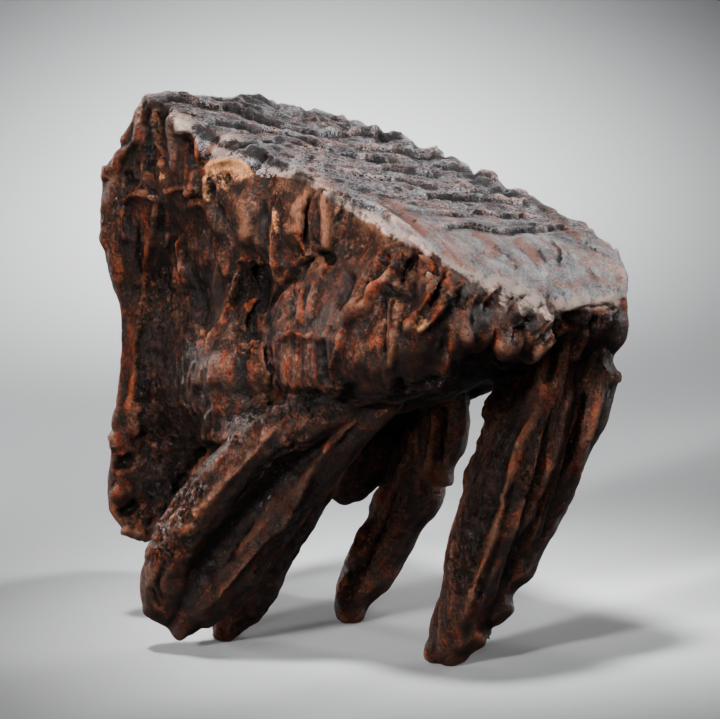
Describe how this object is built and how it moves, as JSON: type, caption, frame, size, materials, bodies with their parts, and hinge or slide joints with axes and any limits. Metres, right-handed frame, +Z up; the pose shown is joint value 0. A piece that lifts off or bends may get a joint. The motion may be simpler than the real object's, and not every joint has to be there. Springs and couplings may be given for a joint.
{
  "type": "fossil mammoth tooth",
  "caption": "Fossil cheek tooth of a mammoth: a tall ridged crown with a sloping, lamellar chewing face on top and thick grooved roots spread below, dark brown and glossy.",
  "frame": {"origin": "middle of the bounding box, at the level of the root tips that the tooth stands on", "axes": "+Z up from the root tips to the chewing face, +X towards the front end's far corner, +Y away from the side wall that carries the pale rim; the tooth row runs about 50 degrees from X"},
  "size_m": [0.1898, 0.2042, 0.1972],
  "materials": {
    "fossil": "mineralised enamel, dentine and cement: glossy dark brown to black sides with rust-red crests, black granular hollows, and a smoother grey-lilac chewing face with black enamel lines"
  },
  "bodies": {
    "root": {"tooth": "fossil"}
  },
  "joints": []
}
